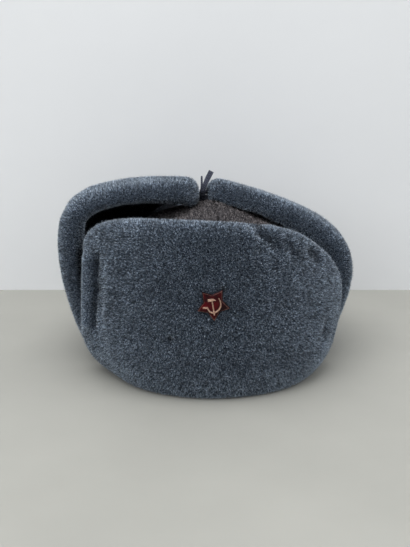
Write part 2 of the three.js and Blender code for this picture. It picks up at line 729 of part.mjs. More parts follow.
function cutFrom(mesh, cutter) {
  mesh.geometry = geometryOf(solidOf(mesh.geometry).subtract(solidOf(cutter)));
  mesh.geometry.computeVertexNormals();
}

const leftFlap = makeEarFlap('left_ear_flap', LEFT_ROWS, LEFT_SLIM, -1);
const rightFlap = makeEarFlap('right_ear_flap', RIGHT_ROWS, RIGHT_SLIM, 1);
cutFrom(frontFlap, makeSeat().applyMatrix4(badge.matrixWorld));
cutFrom(leftFlap, makeSlot(LEFT_TIE));
cutFrom(rightFlap, makeSlot(RIGHT_TIE));

hat.add(makeCrown());
hat.add(frontFlap);
hat.add(leftFlap);
hat.add(rightFlap);
hat.add(badge);
hat.add(piece('tie_knot', makeKnot(), TAPE_COLOUR, 0.9, 0));
hat.add(piece('left_tie', makeTape(LEFT_TIE, TAPE_WIDTH, TAPE_THICK), TAPE_COLOUR, 0.9, 0));
hat.add(piece('right_tie', makeTape(RIGHT_TIE, TAPE_WIDTH, TAPE_THICK), TAPE_COLOUR, 0.9, 0));

// The origin is the middle of the bottom of the whole box
const bounds = new THREE.Box3().setFromObject(hat);
const centre = bounds.getCenter(new THREE.Vector3());
hat.position.set(-centre.x, -centre.y, -bounds.min.z);

export default hat;
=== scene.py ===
"""A winter cap with a cloth crown and turned-up fur flaps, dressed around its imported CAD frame."""

import math

import bmesh
import bpy
import numpy as np
from mathutils import Matrix, Vector
from mathutils.bvhtree import BVHTree
from mathutils.kdtree import KDTree


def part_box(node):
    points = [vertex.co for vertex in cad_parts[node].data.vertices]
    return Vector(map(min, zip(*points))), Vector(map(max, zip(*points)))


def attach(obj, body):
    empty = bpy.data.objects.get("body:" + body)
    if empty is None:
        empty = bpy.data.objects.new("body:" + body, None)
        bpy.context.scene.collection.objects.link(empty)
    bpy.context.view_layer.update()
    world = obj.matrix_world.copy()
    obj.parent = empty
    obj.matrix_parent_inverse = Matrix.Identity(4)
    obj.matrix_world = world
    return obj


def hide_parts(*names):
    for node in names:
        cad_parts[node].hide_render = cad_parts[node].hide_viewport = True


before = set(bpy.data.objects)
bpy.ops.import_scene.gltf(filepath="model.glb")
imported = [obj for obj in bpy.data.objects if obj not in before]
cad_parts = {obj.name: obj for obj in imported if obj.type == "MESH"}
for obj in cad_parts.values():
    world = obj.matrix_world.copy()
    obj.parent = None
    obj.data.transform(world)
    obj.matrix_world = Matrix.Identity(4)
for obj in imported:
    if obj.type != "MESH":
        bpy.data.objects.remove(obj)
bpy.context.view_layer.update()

MM = 0.001

# The camera, in millimetres and degrees
CAMERA_PLACE = (-36.27, -673.56, 245.0)
CAMERA_DOWN = 15.0
CAMERA_TURN = 3.0
CAMERA_LENS = 54.1
CAMERA_SENSOR = 36.0

# The room
WALL_BEHIND = 172.0
ROOM_HALF = 3000.0

# The fur's skin, which carries the pile: the grid it is remade on, how deep it lies in the solid, how
# often it is smoothed, and how high it stays above the floor
VOXEL = 2.1
SKIN_INSET = 1.2
SMOOTH_ROUNDS = 4
SKIN_FLOOR = 0.2

# Above the first height a flap's skin is brought down on the crown where it lies this close over it;
# the left ear flap's only to the right of the last value
ROOF_ABOVE = 96.0
LAID_WITHIN = {"front_flap": 6.0, "left_ear_flap": 8.5, "right_ear_flap": 8.5}
LAID_GAP = 0.5
LAID_PULL = 1.6
LEFT_LAID_FROM = -27.0

# The cloth side and the painted shade of closed-in places, both near black: rays from each point look
# this far for the hat, straight out and leaning to four sides, and start this far off the skin; skin
# laid on the crown counts as well, as painted shade between the parts, up to a limit
INNER_REACH = 40.0
INNER_ROUNDS = 2
RAY_LEAN = 0.9
RAY_START = 1.0
SIDE_WAY = (0.13, 0.31, 0.94)
LAID_COUNTS = 1.5
LAID_COUNTS_MOST = 0.75

# Behind this line an ear flap shows its cloth side over the crown, near black as painted shade: y at
# the middle, its slope with the distance from there, and how much of the cloth side's share, painted
# shade by the hollow, stays in front of it
UNDERSIDES = {
    "left_ear_flap": {"y": -3.0, "slope": -0.28, "front": 0.85},
    "right_ear_flap": {"y": 16.0, "slope": -0.5, "front": 0.3},
}

# Behind this y an ear flap's inner wall shows its cloth side, near black as painted shade
INNER_WALL_FROM = 12.0

# Behind this y and right of this x the left flap's cloth side, near black as painted shade, reaches over
# its edge
SEAM_EDGE = {"x": -46.0, "y": 80.0}

# What counts as facing forward, and how far up a face may look and still count: beside the seam,
# elsewhere on the inner wall, and under the flap's own roof
FACES_FRONT = -0.15
UP_BY_SEAM = 0.85
UP_ON_WALL = 0.5
UP_UNDER_ROOF = 0.3

# Past the first share of the cloth side and its painted shade the pile thins out, over the second
# value, by the third; none grows on faces that look down this close to the floor
BARE_FROM = 0.5
BARE_OVER = 0.3
BARE_LOSS = 0.97
FLOOR_WITHIN = 1.2

# Folds and dents in the front flap's face, in millimetres: a line from one place to another as seen
# from the front, how wide the fold is and how deep, and how much painted shade darkens the pile in it;
# a negative depth stands out, a negative dark is a painted highlight
FACE_FOLDS = (
    {"from": (-84.4, 101.0), "to": (-86.4, 95.0), "half": 2.2, "depth": 2.4, "dark": 0.45},
    {"from": (-86.6, 94.0), "to": (-87.0, 74.0), "half": 2.4, "depth": 3.4, "dark": 0.9},
    {"from": (-87.1, 72.0), "to": (-89.8, 46.0), "half": 2.4, "depth": 3.0, "dark": 0.7},
    {"from": (-82.8, 92.0), "to": (-83.8, 56.0), "half": 2.4, "depth": 0.0, "dark": 0.2},
    {"from": (-93.5, 96.0), "to": (-95.5, 46.0), "half": 3.6, "depth": -3.6, "dark": -0.45},
    {"from": (-101.0, 98.0), "to": (-103.5, 44.0), "half": 4.2, "depth": 2.8, "dark": 0.0},
    {"from": (26.0, 131.0), "to": (33.0, 122.5), "half": 3.4, "depth": 2.2, "dark": 0.35},
    {"from": (33.0, 122.5), "to": (45.0, 111.5), "half": 3.4, "depth": 1.8, "dark": 0.35},
    {"from": (39.0, 126.0), "to": (50.0, 117.0), "half": 3.0, "depth": -1.4, "dark": -0.1},
    {"from": (50.0, 117.0), "to": (57.0, 107.0), "half": 3.2, "depth": 1.8, "dark": 0.3},
    {"from": (71.0, 106.0), "to": (78.0, 98.0), "half": 3.6, "depth": 2.4, "dark": 0.35},
    {"from": (88.0, 48.0), "to": (86.0, 37.0), "half": 4.5, "depth": 2.6, "dark": 0.2},
    {"from": (4.9, 87.0), "to": (5.3, 85.2), "half": 1.7, "depth": 5.0, "dark": 0.9},
    {"from": (-32.2, 49.4), "to": (-32.2, 48.0), "half": 1.7, "depth": 4.5, "dark": 0.9},
)

# The ear flaps' pile is this much as mixed in tone as the front flap's
EAR_MIX = 0.75

# A few hairs stand loose and longer than the rest: their share, length and width
LOOSE_HAIRS = 0.07
LOOSE_LENGTH = 1.7
LOOSE_WIDTH = 0.6

# Low down the pile is painted paler, as light thrown up from the floor
PAINTED_FLOOR_BOUNCE = 0.16
PAINTED_FLOOR_BOUNCE_BELOW = 75.0

# Past the first share of the cloth side the blades darken with painted shade, over the second value, by
# the third
INNER_PAINTED_SHADE_FROM = 0.25
INNER_PAINTED_SHADE_OVER = 0.4
INNER_PAINTED_SHADE = 0.9

# How blades vary in length and width, and tufts and blades in tone; how high a tuft's heart stands,
# how much a blade is lit as the skin under it, and how high it stays off the floor
LENGTHS = (0.75, 1.12)
WIDTHS = (0.7, 1.3)
TUFT_TONES = (-0.12, 1.12)
BLADE_TONES = 0.18
HEART_HEIGHT = 0.92
LIT_AS_SKIN = 0.75
BLADE_FLOOR = 0.1

# The flows in the pile: how wide their waves are, and how far they lean the blades
FLOWS = ({"waves": 30.0, "lean": 0.12}, {"waves": 8.0, "lean": 0.1})

# The pile's coats: how long and thick the blades are, how many tufts they join, how far they lean,
# and how far each is drawn to the heart of its tuft
LONG_COAT = {
    "length": 1.7,
    "sunk": 0.7,
    "half": 0.18,
    "blades": 195000,
    "per_tuft": 5,
    "lean": 0.25,
    "stray": 0.2,
    "drawn": (0.3, 0.8),
    "material": "pile",
}
SHORT_COAT = LONG_COAT | {"length": 1.4, "sunk": 0.5, "half": 0.2, "blades": 130000, "lean": 0.2}
WOOL_NAP = {
    "length": 1.6,
    "sunk": 0.3,
    "half": 0.24,
    "blades": 90000,
    "per_tuft": 2,
    "lean": 0.3,
    "stray": 0.7,
    "drawn": (0.0, 0.2),
    "material": "nap",
}

# The crown: its seams run through the apex, turned a little from straight ahead; its roof rises from
# the first height by the second; what faces away from its heart is its outside
SEAM_DEPTH = 1.1
SEAM_HALF_WIDTH = 1.4
SEAM_SLANT = 0.06
APEX = (6.2, 1.0)
CROWN_MIDDLE = 1.0
CROWN_HEART = (1.0, 0.0, 30.0)
CROWN_ROOF_FROM = 56.0
CROWN_ROOF_RISE = 71.0

# The nap is thin where the seam's share passes the first value, and below this height
NAP_SEAM_FROM = 0.45
NAP_IN_SEAM = 0.2
NAP_FULL_ABOVE = 70.0
NAP_BELOW = 0.25

# The badge: its centre, the star's face as in the solids, and how much further in the star's corners
# move with its edge, at a tip and at a waist
BADGE_CENTRE = (-1.95, 76.0)
BADGE_TURN = -32.0
STAR_REACH = 11.5
STAR_WAIST = 0.57
TIP_INSET = 2.6
WAIST_INSET = 1.1
RIM_WIDTH = 0.2
RIM_HEIGHT = 0.12
RIM_GAP = 0.01
EMBLEM_ROUND = 0.14

# The enamel: how high it is domed, how high its ridges are beside that, how far under the rim it
# reaches, and how its painted dark reflection runs from the middle over the face
ENAMEL_RISE = 0.3
ENAMEL_RIDGE = 0.35
ENAMEL_EDGE = 0.7
ENAMEL_GAP = 0.02
REFLECTION_MIDDLE = 0.35
REFLECTION_RUN = (0.075, -0.02)
REFLECTION_MOST = 0.9

# Blades keep clear of the badge: looked for this far round the star, on the face that lies before
# this y, and this far ahead of each root
BADGE_ROUND = 2.0
FACE_BEFORE = -100.0
BADGE_AHEAD = 12.0

# The tapes: paths in millimetres, with the tape's width at each point; their section's sides and
# roundness; and where the painted shade of the knot begins, going down, and over what height it grows
TAPE_THICK = 1.2
TAPE_SIDES = 12
TAPE_ROUND = {"wide": 0.6, "deep": 0.8}
KNOT_UNSHADED_ABOVE = 139.0
KNOT_SHADE_OVER = 8.0
LEFT_TAPE = (
    {"at": (-10.8, 9.0, 133.6), "width": 3.8},
    {"at": (-7.8, 9.3, 132.8), "width": 3.6},
    {"at": (-5.2, 9.8, 131.4), "width": 3.2},
    {"at": (-3.4, 10.2, 130.6), "width": 2.8},
)
RIGHT_TAPE = (
    {"at": (6.2, 16.0, 134.0), "width": 3.8},
    {"at": (3.5, 14.0, 133.5), "width": 3.6},
    {"at": (1.0, 12.0, 132.4), "width": 3.2},
    {"at": (-1.0, 10.9, 131.4), "width": 2.8},
)
LONG_END = (
    {"at": (-2.0, 9.4, 129.0), "width": 3.0},
    {"at": (-1.9, 9.5, 133.0), "width": 3.4},
    {"at": (-0.7, 10.0, 138.0), "width": 4.0},
    {"at": (1.9, 10.8, 143.8), "width": 4.6},
    {"at": (5.0, 11.4, 149.8), "width": 4.6},
)
SHORT_END = (
    {"at": (-2.8, 9.0, 129.5), "width": 3.0},
    {"at": (-3.3, 9.0, 134.0), "width": 3.0},
    {"at": (-3.2, 9.0, 139.0), "width": 3.0},
    {"at": (-3.3, 8.9, 146.0), "width": 1.9},
)
KNOT_CORE = (
    {"at": (-1.8, 10.4, 126.4), "width": 2.6},
    {"at": (-2.1, 10.3, 130.0), "width": 3.6},
    {"at": (-2.0, 10.2, 134.0), "width": 2.6},
)
LOW_TURN = (
    {"at": (-8.2, 10.4, 127.6), "width": 3.2},
    {"at": (-5.4, 9.8, 126.8), "width": 3.8},
    {"at": (-2.6, 9.0, 126.6), "width": 4.0},
    {"at": (0.2, 9.6, 127.4), "width": 3.6},
    {"at": (2.6, 11.6, 129.4), "width": 3.2},
)

# The turns of tape round the knot's core: their reach across and deep, their tilt, and their wave
KNOT_WRAPS = (
    {"at": (-2.4, 10.4, 132.8), "width": 3.4, "reach": (2.0, 2.4), "roll": 24.0, "nod": -14.0},
    {"at": (-2.5, 10.3, 130.0), "width": 3.6, "reach": (2.2, 2.8), "roll": -26.0, "nod": 16.0},
    {"at": (-2.2, 10.5, 127.8), "width": 3.0, "reach": (2.1, 2.6), "roll": 14.0, "nod": 30.0},
)
WRAP_WAVE = 0.25

# The light: places, aims and sizes in metres, powers in watts
WORLD_COLOUR = (0.93, 0.96, 1.0, 1)
WORLD_STRENGTH = 0.68
LIGHTS = {
    "ceiling_light": {"place": (-0.25, -0.3, 1.6), "aim": (0, 0, 0), "size": 1.4, "power": 18},
    "window_light": {"place": (-1.15, -1.4, 1.0), "aim": (0, 0, 0.1), "size": 1.2, "power": 9},
    "side_light": {"place": (1.5, -0.5, 0.8), "aim": (0, 0, 0.08), "size": 1.0, "power": 6},
}
LIGHT_COLOURS = {"window_light": (0.96, 0.98, 1.0), "side_light": (0.97, 0.98, 1.0)}


def linear(red, green, blue):
    """A colour for a shader's socket from its eight-bit values on screen."""
    shares = [value / 255 for value in (red, green, blue)]
    return tuple(s / 12.92 if s <= 0.04045 else ((s + 0.055) / 1.055) ** 2.4 for s in shares) + (1.0,)


def link(piece):
    bpy.context.scene.collection.objects.link(piece)
    return piece


def mesh_object(name, points, faces):
    mesh = bpy.data.meshes.new(name)
    mesh.from_pydata([tuple(p) for p in points], [], [tuple(f) for f in faces])
    mesh.update()
    return link(bpy.data.objects.new(name, mesh))


def baked_down(piece):
    """Applies a piece's modifiers to its mesh."""
    graph = bpy.context.evaluated_depsgraph_get()
    mesh = bpy.data.meshes.new_from_object(piece.evaluated_get(graph))
    piece.modifiers.clear()
    old = piece.data
    piece.data = mesh
    bpy.data.meshes.remove(old)
    return piece


def copy_of(node, name):
    """A piece with a CAD node's mesh, its split corners joined again."""
    form = bmesh.new()
    form.from_mesh(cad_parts[node].data)
    bmesh.ops.remove_doubles(form, verts=form.verts, dist=2e-6)
    mesh = bpy.data.meshes.new(name)
    form.to_mesh(mesh)
    form.free()
    return link(bpy.data.objects.new(name, mesh))


def in_material(piece, name):
    """Gives a piece one material, in place of any that it has."""
    piece.data.materials.clear()
    piece.data.materials.append(MATERIALS[name])
    return piece


def faced_outward(piece, forward=False):
    """Turns a piece's faces outward, or those of an open sheet to the front."""
    form = bmesh.new()
    form.from_mesh(piece.data)
    bmesh.ops.recalc_face_normals(form, faces=form.faces)
    if forward and sum((face.normal * face.calc_area() for face in form.faces), Vector()).y > 0:
        bmesh.ops.reverse_faces(form, faces=form.faces)
    form.to_mesh(piece.data)
    form.free()
    return piece


def smooth_shading(piece):
    piece.data.shade_smooth()
    return piece


def vectors_of(mesh, kind):
    vectors = np.empty(len(mesh.vertices) * 3, np.float32)
    mesh.vertices.foreach_get(kind, vectors)
    return vectors.reshape(-1, 3).astype(np.float64)


def surface(mesh):
    """The places of a mesh's points, and how it faces there."""
    return vectors_of(mesh, "co"), vectors_of(mesh, "normal")


def values_of(mesh, name):
    """A float attribute of a mesh, one value a point."""
    values = np.empty(len(mesh.vertices), np.float32)
    mesh.attributes[name].data.foreach_get("value", values)
    return values.astype(np.float64)


def put_values(mesh, name, values):
    """Writes a float attribute of a mesh, one value a point."""
    mark = mesh.attributes.new(name, "FLOAT", "POINT")
    mark.data.foreach_set("value", np.asarray(values, np.float32))


def triangles(mesh):
    mesh.calc_loop_triangles()
    corners = np.empty(len(mesh.loop_triangles) * 3, np.int32)
    mesh.loop_triangles.foreach_get("vertices", corners)
    return corners.reshape(-1, 3)


def put_coordinates(mesh, places):
    mesh.vertices.foreach_set("co", places.astype(np.float32).ravel())
    mesh.update()


def unit(rows):
    """Each row's vector at a length of one."""
    return rows / np.maximum(np.linalg.norm(rows, axis=1, keepdims=True), 1e-12)


def tree_of(mesh):
    return BVHTree.FromPolygons(
        [tuple(p) for p in vectors_of(mesh, "co")],
        [tuple(t) for t in triangles(mesh)],
    )


# Materials


def new_material(name):
    material = bpy.data.materials.new(name)
    material.use_nodes = True
    tree = material.node_tree
    tree.nodes.clear()
    out = tree.nodes.new("ShaderNodeOutputMaterial")
    shader = tree.nodes.new("ShaderNodeBsdfPrincipled")
    tree.links.new(shader.outputs[0], out.inputs[0])
    return material, tree, shader


def new_group(name, takes, gives):
    """A shader node group with named inputs and outputs: (tree, its inputs, its outputs)."""
    tree = bpy.data.node_groups.new(name, "ShaderNodeTree")
    for label, value in takes.items():
        kind = "NodeSocketColor" if isinstance(value, tuple) else "NodeSocketFloat"
        socket = tree.interface.new_socket(label, in_out="INPUT", socket_type=kind)
        socket.default_value = value
    for label, kind in gives.items():
        tree.interface.new_socket(label, in_out="OUTPUT", socket_type=kind)
    start = tree.nodes.new("NodeGroupInput")
    end = tree.nodes.new("NodeGroupOutput")
    return tree, start.outputs, end.inputs


def feed(tree, socket, value):
    """Sets a socket to a colour or a number, or links what gives one."""
    if isinstance(value, (tuple, float)):
        socket.default_value = value
    else:
        tree.links.new(value, socket)


def ranged(tree, value, low, high, to_low=0.0, to_high=1.0):
    """A value moved from one range to another, and kept inside it."""
    node = tree.nodes.new("ShaderNodeMapRange")
    for name, number in (("From Min", low), ("From Max", high), ("To Min", to_low), ("To Max", to_high)):
        node.inputs[name].default_value = number
    tree.links.new(value, node.inputs["Value"])
    return node.outputs["Result"]


def blended(tree, kind, share, first, second):
    """Two colours mixed, by a number or by a mask."""
    mix = tree.nodes.new("ShaderNodeMix")
    mix.data_type = "RGBA"
    mix.blend_type = kind
    for place, value in ((0, share), (6, first), (7, second)):
        feed(tree, mix.inputs[place], value)
    return mix.outputs[2]


def grain_group():
    """Fine grain in the object's own coordinates: a colour between two, and its height."""
    tree, takes, gives = new_group(
        "fibre_grain",
        {"Scale": 900.0, "Roughness": 0.6, "Dark": grey(0.1), "Pale": grey(0.5)},
        {"Colour": "NodeSocketColor", "Height": "NodeSocketFloat"},
    )
    noise = tree.nodes.new("ShaderNodeTexNoise")
    noise.inputs["Detail"].default_value = 4.0
    tree.links.new(tree.nodes.new("ShaderNodeTexCoord").outputs["Object"], noise.inputs["Vector"])
    for label in ("Scale", "Roughness"):
        tree.links.new(takes[label], noise.inputs[label])
    height = ranged(tree, noise.outputs["Fac"], 0.36, 0.64)
    tree.links.new(blended(tree, "MIX", height, takes["Dark"], takes["Pale"]), gives["Colour"])
    tree.links.new(height, gives["Height"])
    return tree


def fibre_group():
    """A fibre's colour from its root to its tip, times the tone of its tuft."""
    tree, takes, gives = new_group(
        "fibre_tone",
        {
            "Root": grey(0.05),
            "Middle": grey(0.2),
            "Tip": grey(0.5),
            "Darkest": grey(0.5),
            "Palest": grey(1.5),
        },
        {"Colour": "NodeSocketColor"},
    )
    reach = attribute_of(tree, "reach")
    lower = ranged(tree, reach, 0.0, 0.5)
    upper = ranged(tree, reach, 0.5, 1.0)
    colour = blended(tree, "MIX", lower, takes["Root"], takes["Middle"])
    colour = blended(tree, "MIX", upper, colour, takes["Tip"])
    tuft = attribute_of(tree, "tuft")
    tone = blended(tree, "MIX", tuft, takes["Darkest"], takes["Palest"])
    tree.links.new(blended(tree, "MULTIPLY", 1.0, colour, tone), gives["Colour"])
    return tree


def placed(tree, group, **values):
    """A node group set in a material with its own values."""
    node = tree.nodes.new("ShaderNodeGroup")
    node.node_tree = group
    for label, value in values.items():
        feed(tree, node.inputs[label], value)
    return node.outputs


def set_finish(shader, roughness, shine):
    """How rough a surface is, and how much it mirrors."""
    shader.inputs["Roughness"].default_value = roughness
    shader.inputs["Specular IOR Level"].default_value = shine


def bump_from(tree, height, strength, distance):
    bump = tree.nodes.new("ShaderNodeBump")
    bump.inputs["Strength"].default_value = strength
    bump.inputs["Distance"].default_value = distance
    tree.links.new(height, bump.inputs["Height"])
    return bump.outputs[0]


def attribute_of(tree, name):
    """What a mesh's float attribute says, for a material."""
    attribute = tree.nodes.new("ShaderNodeAttribute")
    attribute.attribute_name = name
    return attribute.outputs["Fac"]


def grey(value):
    return (value, value, value, 1.0)


def pile_material():
    """Fur: dark at the root and pale at the tip, with tufts and patches of their own tone."""
    material, tree, shader = new_material("fur_pile")
    fibre = placed(
        tree,
        FIBRE,
        Root=linear(34, 40, 48),
        Middle=linear(99, 114, 131),
        Tip=linear(190, 200, 211),
        Darkest=grey(0.08),
        Palest=grey(1.95),
    )
    patches = placed(tree, GRAIN, Scale=55.0, Roughness=0.6, Dark=grey(0.84), Pale=grey(1.14))
    colour = blended(tree, "MULTIPLY", 1.0, fibre["Colour"], patches["Colour"])
    tree.links.new(colour, shader.inputs["Base Color"])
    set_finish(shader, roughness=0.7, shine=0.2)
    shader.inputs["Sheen Weight"].default_value = 0.35
    shader.inputs["Sheen Roughness"].default_value = 0.5
    shader.inputs["Sheen Tint"].default_value = linear(205, 216, 228)
    return material


def skin_material():
    """What shows between the blades, dark as painted shade in the depth of the pile, and the cloth of
    the inner side, near black partly as painted shade.
    """
    material, tree, shader = new_material("pile_depth_shade")
    # painted shade: the skin's dark grain stands for the shaded depth of the pile
    root, between = linear(24, 29, 36), linear(92, 103, 118)
    grain = placed(tree, GRAIN, Scale=900.0, Roughness=0.6, Dark=root, Pale=between)
    # the cloth side's near black is partly the dark cloth and partly painted shade
    hollow, thread = linear(8, 9, 12), linear(24, 27, 33)
    cloth = placed(tree, GRAIN, Scale=1400.0, Roughness=0.5, Dark=hollow, Pale=thread)
    inner = ranged(tree, attribute_of(tree, "inner"), 0.3, 0.7)
    colour = blended(tree, "MIX", inner, grain["Colour"], cloth["Colour"])
    tree.links.new(colour, shader.inputs["Base Color"])
    set_finish(shader, roughness=0.95, shine=0.1)
    tree.links.new(bump_from(tree, grain["Height"], 0.8, 0.002), shader.inputs["Normal"])
    return material


def wool_material():
    """The crown's wool: brown and grey fibres felted together, with painted shade down in the seams."""
    material, tree, shader = new_material("crown_wool")
    brown, grizzle = linear(19, 18, 21), linear(99, 96, 99)
    grain = placed(tree, GRAIN, Scale=1100.0, Roughness=0.75, Dark=brown, Pale=grizzle)
    patches = placed(tree, GRAIN, Scale=60.0, Roughness=0.5, Dark=grey(0.75), Pale=grey(1.15))
    colour = blended(tree, "MULTIPLY", 1.0, grain["Colour"], patches["Colour"])
    # painted shade: the wool darkens down in the sunk seams
    seam = attribute_of(tree, "seam")
    colour = blended(tree, "MIX", ranged(tree, seam, 0.2, 0.95, 0.0, 0.7), colour, linear(16, 13, 14))
    tree.links.new(colour, shader.inputs["Base Color"])
    set_finish(shader, roughness=0.95, shine=0.1)
    tree.links.new(bump_from(tree, grain["Height"], 0.7, 0.001), shader.inputs["Normal"])
    return material


def nap_material():
    """Loose fibres on the wool, from dark brown to beige."""
    material, tree, shader = new_material("wool_nap")
    fibre = placed(
        tree,
        FIBRE,
        Root=linear(50, 49, 52),
        Middle=linear(82, 81, 85),
        Tip=linear(106, 104, 108),
        Darkest=grey(0.1),
        Palest=(3.1, 2.9, 2.65, 1.0),
    )
    tree.links.new(fibre["Colour"], shader.inputs["Base Color"])
    set_finish(shader, roughness=0.9, shine=0.1)
    return material


def tape_material():
    """Dull herringbone tape, paler where its threads stand out."""
    material, tree, shader = new_material("tape_weave")
    flip = tree.nodes.new("ShaderNodeMath")
    flip.operation = "ABSOLUTE"
    tree.links.new(attribute_of(tree, "across"), flip.inputs[0])
    slant = tree.nodes.new("ShaderNodeMath")
    slant.operation = "ADD"
    tree.links.new(attribute_of(tree, "along"), slant.inputs[0])
    tree.links.new(flip.outputs[0], slant.inputs[1])
    place = tree.nodes.new("ShaderNodeCombineXYZ")
    tree.links.new(slant.outputs[0], place.inputs[0])
    threads = tree.nodes.new("ShaderNodeTexWave")
    threads.inputs["Scale"].default_value = 0.2
    threads.inputs["Distortion"].default_value = 0.6
    tree.links.new(place.outputs[0], threads.inputs["Vector"])
    grain = placed(tree, GRAIN, Scale=1600.0, Roughness=0.6, Dark=grey(0.6), Pale=grey(1.25))
    weave = blended(tree, "MIX", threads.outputs["Fac"], linear(18, 21, 27), linear(114, 118, 136))
    colour = blended(tree, "MULTIPLY", 1.0, weave, grain["Colour"])
    # painted shade: the knot's tape darkens towards the bottom
    knot_shade = ranged(tree, attribute_of(tree, "knot_shade"), 0.0, 1.0, 0.0, 0.85)
    colour = blended(tree, "MIX", knot_shade, colour, linear(14, 17, 22))
    tree.links.new(colour, shader.inputs["Base Color"])
    set_finish(shader, roughness=0.85, shine=0.2)
    tree.links.new(bump_from(tree, threads.outputs["Fac"], 0.6, 0.0003), shader.inputs["Normal"])
    return material


def enamel_material():
    """Deep red enamel, uneven in depth, with a painted dark reflection across it."""
    material, tree, shader = new_material("red_enamel")
    deep, thin = linear(26, 0, 5), linear(100, 2, 14)
    cloud = placed(tree, GRAIN, Scale=110.0, Roughness=0.5, Dark=deep, Pale=thin)
    # painted reflection: the enamel darkens towards the right and down
    colour = blended(tree, "MIX", attribute_of(tree, "painted_reflection"), cloud["Colour"], linear(14, 1, 3))
    tree.links.new(colour, shader.inputs["Base Color"])
    set_finish(shader, roughness=0.34, shine=0.15)
    tree.links.new(bump_from(tree, cloud["Height"], 0.15, 0.0004), shader.inputs["Normal"])
    return material


def gilt_material(name, scale, dark, pale):
    """Gilt metal, worn and dull in places."""
    material, tree, shader = new_material(name)
    wear = placed(tree, GRAIN, Scale=scale, Roughness=0.6, Dark=dark, Pale=pale)
    tree.links.new(wear["Colour"], shader.inputs["Base Color"])
    shader.inputs["Metallic"].default_value = 0.8
    tree.links.new(ranged(tree, wear["Height"], 0.0, 1.0, 0.5, 0.3), shader.inputs["Roughness"])
    return material


# The fur flaps


def in_folds(places, column):
    """What the folds in the front flap's face come to at each place: their depth, or their painted shade
    and highlight.
    """
    flat = places[:, [0, 2]] / MM
    amount = np.zeros(len(places))
    for fold in FACE_FOLDS:
        start, end = np.array(fold["from"]), np.array(fold["to"])
        run = end - start
        share = np.clip((flat - start) @ run / (run @ run), 0, 1)
        away = np.linalg.norm(flat - start - share[:, None] * run, axis=1)
        amount += fold[column] * np.exp(-((away / fold["half"]) ** 2))
    return amount


def laid_on_crown(places, node):
    """Brings a flap's skin down on the crown's roof where it lies close over it, and how much so."""
    laid, moved, within = places.copy(), np.zeros(len(places)), LAID_WITHIN[node] * MM
    over_roof = places[:, 2] > ROOF_ABOVE * MM
    if node == "left_ear_flap":
        over_roof &= places[:, 0] > LEFT_LAID_FROM * MM
    for k in np.flatnonzero(over_roof):
        near, normal, _, away = CROWN_TREE.find_nearest(Vector(places[k]), within)
        if near is None or (Vector(places[k]) - near).dot(normal) < 0:
            continue
        share = min(1.0, LAID_PULL * (1 - away / within))
        goal = near + normal * LAID_GAP * MM
        laid[k] += (np.array(goal) - places[k]) * share
        moved[k] = share
    return laid, moved


def smoothed(mesh, values, rounds):
    """Values of the points, evened out with their neighbours."""
    edges = np.empty(len(mesh.edges) * 2, np.int32)
    mesh.edges.foreach_get("vertices", edges)
    first, second = edges.reshape(-1, 2).T
    number = np.bincount(np.concatenate([first, second]), minlength=len(values))
    for _ in range(rounds):
        near = np.bincount(first, values[second], len(values))
        near += np.bincount(second, values[first], len(values))
        values = 0.5 * values + 0.5 * near / np.maximum(number, 1)
    return values


def inner_share(mesh, others):
    """How closed in each point is, which marks the flap's cloth side and its painted shade: the share of
    rays that meet the hat.
    """
    places, normals = surface(mesh)
    share = np.zeros(len(places))
    sides = unit(np.cross(normals, SIDE_WAY))
    uprights = np.cross(normals, sides)
    leans = ((0, 0), (RAY_LEAN, 0), (-RAY_LEAN, 0), (0, RAY_LEAN), (0, -RAY_LEAN))
    for side, upright in leans:
        ways = normals + sides * side + uprights * upright
        for k in range(len(places)):
            start = Vector(places[k] + normals[k] * RAY_START * MM)
            way = Vector(ways[k]).normalized()
            if any(tree.ray_cast(start, way, INNER_REACH * MM)[0] is not None for tree in others):
                share[k] += 1 / len(leans)
    return smoothed(mesh, share, INNER_ROUNDS)


def on_cloth_side(mesh, node, inner):
    """An ear flap's share of cloth side and painted shade, full under its own roof and at the back, less
    at its front edge.
    """
    places, normals = surface(mesh)
    own, row = tree_of(mesh), UNDERSIDES[node]
    behind = places[:, 1] > row["y"] * MM + row["slope"] * np.abs(places[:, 0])
    in_front = ~behind & (normals[:, 1] < FACES_FRONT)
    inner = np.where(in_front, inner * row["front"], inner)
    facing_in = (normals[:, :2] * places[:, :2]).sum(axis=1) < 0
    at_back = places[:, 1] > INNER_WALL_FROM * MM
    by_seam = (places[:, 1] > SEAM_EDGE["y"] * MM) & (places[:, 0] > SEAM_EDGE["x"] * MM)
    on_left = places[:, 0] < 0
    steep = normals[:, 2] < np.where(by_seam & on_left, UP_BY_SEAM, UP_ON_WALL)
    inner[facing_in & at_back & steep] = 1.0
    over_roof = places[:, 2] > ROOF_ABOVE * MM
    for k in np.flatnonzero(over_roof & behind & (normals[:, 2] < UP_UNDER_ROOF)):
        start = Vector(places[k] + normals[k] * RAY_START * MM)
        if own.ray_cast(start, Vector((0, 0, 1)), INNER_REACH * MM)[0] is not None:
            inner[k] = 1.0
    return smoothed(mesh, inner, INNER_ROUNDS)


